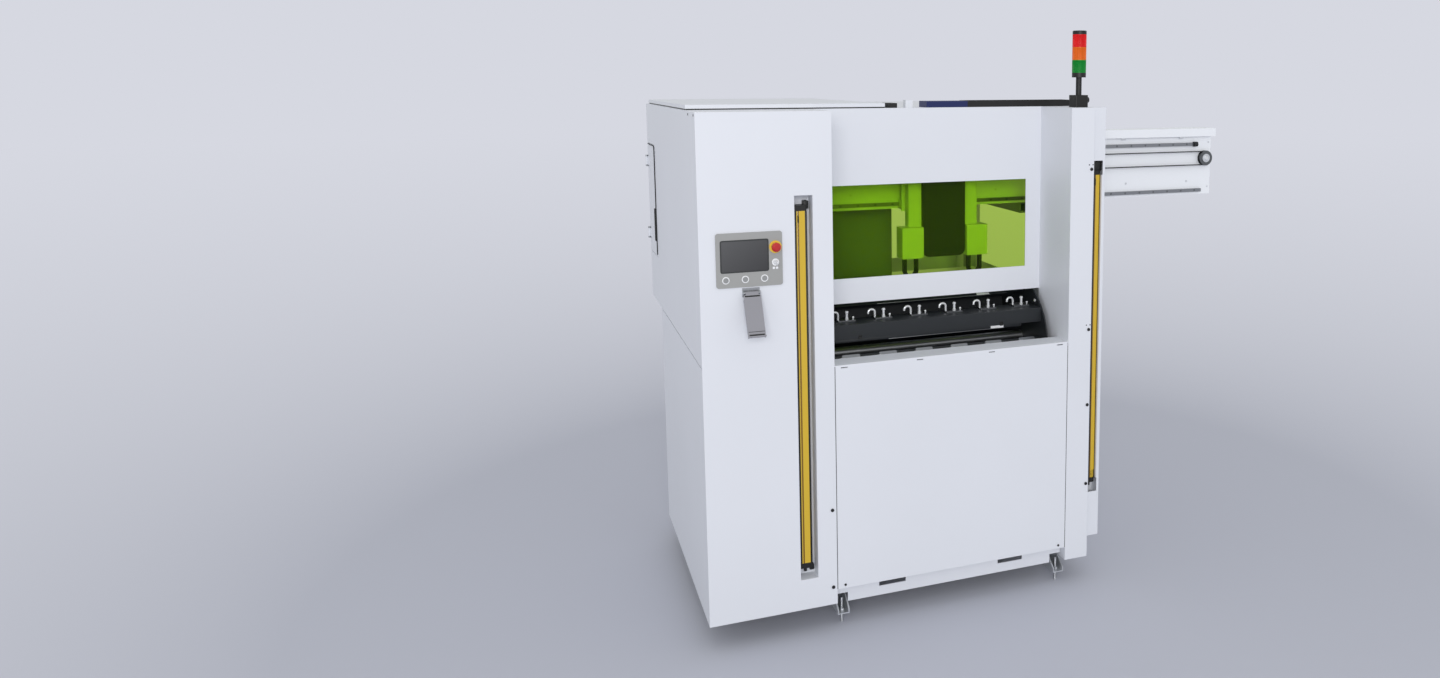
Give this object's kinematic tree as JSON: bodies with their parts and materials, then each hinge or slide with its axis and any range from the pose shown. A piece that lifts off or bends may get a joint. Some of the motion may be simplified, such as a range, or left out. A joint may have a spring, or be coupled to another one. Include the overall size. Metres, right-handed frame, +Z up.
{
  "type": "key duplicating machine",
  "caption": "Floor-standing key production cell: white cabinet with operator panel, light curtain, tinted window, turning fixture carousel and a gripper gantry.",
  "frame": {"origin": "on the floor, in the middle of the four levelling studs", "axes": "+X to the operator's right along the gantry beam, +Y into the depth, +Z up"},
  "size_m": [2.658, 1.6208, 2.425],
  "materials": {
    "panel_white": "satin powder coat",
    "frame_grey": "matt paint",
    "slate": "satin powder coat",
    "steel": "brushed",
    "chrome": "polished",
    "aluminium": "satin",
    "black_plastic": "matt",
    "bar_yellow": "satin",
    "plate_grey": "satin",
    "screen": "glossy",
    "window_green": "clear tint",
    "stop_red": "glossy",
    "ring_yellow": "glossy",
    "button_white": "glossy",
    "lens_red": "glossy",
    "lens_orange": "glossy",
    "lens_green": "glossy",
    "belt_rubber": "matt",
    "unit_blue": "satin",
    "cover_dark": "satin"
  },
  "bodies": {
    "cabinet": {"machine_frame": "frame_grey", "foot_brackets": "aluminium", "levelling_studs": "steel", "plinth": "panel_white", "left_front_panel": "panel_white", "left_walls": "panel_white", "right_column": "panel_white", "right_walls": "panel_white", "rear_walls": "panel_white", "roof_panel": "panel_white", "window_panel": "panel_white", "safety_window": "window_green", "ledge": "panel_white", "lower_cover": "panel_white", "panel_screws": "steel", "hmi_plate": "plate_grey", "touch_screen": "screen", "estop_ring": "ring_yellow", "control_rings": "steel", "hinge_pins": "steel", "curtain_bars": "bar_yellow", "curtain_caps": "black_plastic", "drum_bearings": "frame_grey", "drive_motors": "cover_dark", "gantry_beam": "aluminium", "beam_cover": "panel_white", "guide_rails": "steel", "beam_stops": "belt_rubber", "drive_belt": "belt_rubber", "tower_body": "black_plastic", "lens_green": "lens_green", "lens_orange": "lens_orange", "lens_red": "lens_red", "roof_tray": "black_plastic", "blue_unit": "unit_blue", "inner_housing": "panel_white", "cutting_bed": "steel"},
    "drum": {"drum_shaft": "steel", "drum_discs": "slate", "drum_trays": "slate", "fixture_plates": "steel", "fixture_rods": "chrome"},
    "carriage": {"carriage": "aluminium", "carriage_cover": "cover_dark"},
    "gripper_a": {"gripper_a": "aluminium"},
    "gripper_b": {"gripper_b": "aluminium"},
    "finger_a1": {"finger_a1": "steel"},
    "finger_a2": {"finger_a2": "steel"},
    "finger_b1": {"finger_b1": "steel"},
    "finger_b2": {"finger_b2": "steel"},
    "idler_pulley": {"idler_pulley": "aluminium"},
    "drive_pulley": {"drive_pulley": "aluminium"},
    "estop_button": {"estop_button": "stop_red"},
    "key_barrel": {"key_barrel": "chrome"},
    "push_button_1": {"push_button_1": "button_white"},
    "push_button_2": {"push_button_2": "button_white"},
    "push_button_3": {"push_button_3": "button_white"},
    "holder_flap": {"holder_flap": "plate_grey"},
    "side_door": {"side_door": "panel_white"},
    "cutter_spindle": {"cutter_spindle": "steel"}
  },
  "joints": [
    {"name": "drum_turn", "type": "hinge", "parent": "cabinet", "child": "drum", "pos_m": [0, -0.173, 1.035], "axis": [1, 0, 0], "continuous": true},
    {"name": "carriage_slide", "type": "slide", "parent": "cabinet", "child": "carriage", "axis": [1, 0, 0], "range_m": [-0.25, 1.2]},
    {"name": "gripper_a_lift", "type": "slide", "parent": "carriage", "child": "gripper_a", "axis": [0, 0, 1], "range_m": [-0.045, 0.08]},
    {"name": "gripper_b_lift", "type": "slide", "parent": "carriage", "child": "gripper_b", "axis": [0, 0, 1], "range_m": [-0.045, 0.08]},
    {"name": "finger_a1_close", "type": "slide", "parent": "gripper_a", "child": "finger_a1", "axis": [1, 0, 0], "range_m": [0, 0.008]},
    {"name": "finger_a2_close", "type": "slide", "parent": "gripper_a", "child": "finger_a2", "axis": [1, 0, 0], "range_m": [-0.008, 0]},
    {"name": "finger_b1_close", "type": "slide", "parent": "gripper_b", "child": "finger_b1", "axis": [1, 0, 0], "range_m": [0, 0.008]},
    {"name": "finger_b2_close", "type": "slide", "parent": "gripper_b", "child": "finger_b2", "axis": [1, 0, 0], "range_m": [-0.008, 0]},
    {"name": "drive_pulley_turn", "type": "hinge", "parent": "cabinet", "child": "drive_pulley", "pos_m": [-0.4405, -0.103, 1.829], "axis": [0, 1, 0], "range_deg": [-450, 2100]},
    {"name": "idler_pulley_turn", "type": "hinge", "parent": "cabinet", "child": "idler_pulley", "pos_m": [1.5485, -0.103, 1.829], "axis": [0, 1, 0], "range_deg": [-450, 2100]},
    {"name": "estop_press", "type": "slide", "parent": "cabinet", "child": "estop_button", "axis": [0, 1, 0], "range_m": [0, 0.005], "stiffness_N_per_m": 800},
    {"name": "key_turn", "type": "hinge", "parent": "cabinet", "child": "key_barrel", "pos_m": [-0.7535, -0.581, 1.529], "axis": [0, 1, 0], "range_deg": [-60, 60]},
    {"name": "push_button_1_press", "type": "slide", "parent": "cabinet", "child": "push_button_1", "axis": [0, 1, 0], "range_m": [0, 0.0025], "stiffness_N_per_m": 600},
    {"name": "push_button_2_press", "type": "slide", "parent": "cabinet", "child": "push_button_2", "axis": [0, 1, 0], "range_m": [0, 0.0025], "stiffness_N_per_m": 600},
    {"name": "push_button_3_press", "type": "slide", "parent": "cabinet", "child": "push_button_3", "axis": [0, 1, 0], "range_m": [0, 0.0025], "stiffness_N_per_m": 600},
    {"name": "holder_swing", "type": "hinge", "parent": "cabinet", "child": "holder_flap", "pos_m": [-0.8485, -0.595, 1.418], "axis": [1, 0, 0], "range_deg": [-60, 0]},
    {"name": "side_door_swing", "type": "hinge", "parent": "cabinet", "child": "side_door", "pos_m": [-1.0475, 0.915, 1.638], "axis": [0, 0, 1], "range_deg": [-110, 0]},
    {"name": "cutter_spin", "type": "hinge", "parent": "cabinet", "child": "cutter_spindle", "pos_m": [-0.2505, 0.25, 1.4], "axis": [0, 1, 0], "continuous": true}
  ],
  "couplings": [
    {"joint": "drive_pulley_turn", "follows": "carriage_slide", "rad_per_m": 30.211},
    {"joint": "idler_pulley_turn", "follows": "carriage_slide", "rad_per_m": 30.211},
    {"joint": "finger_a2_close", "follows": "finger_a1_close", "ratio": -1},
    {"joint": "finger_b2_close", "follows": "finger_b1_close", "ratio": -1}
  ]
}
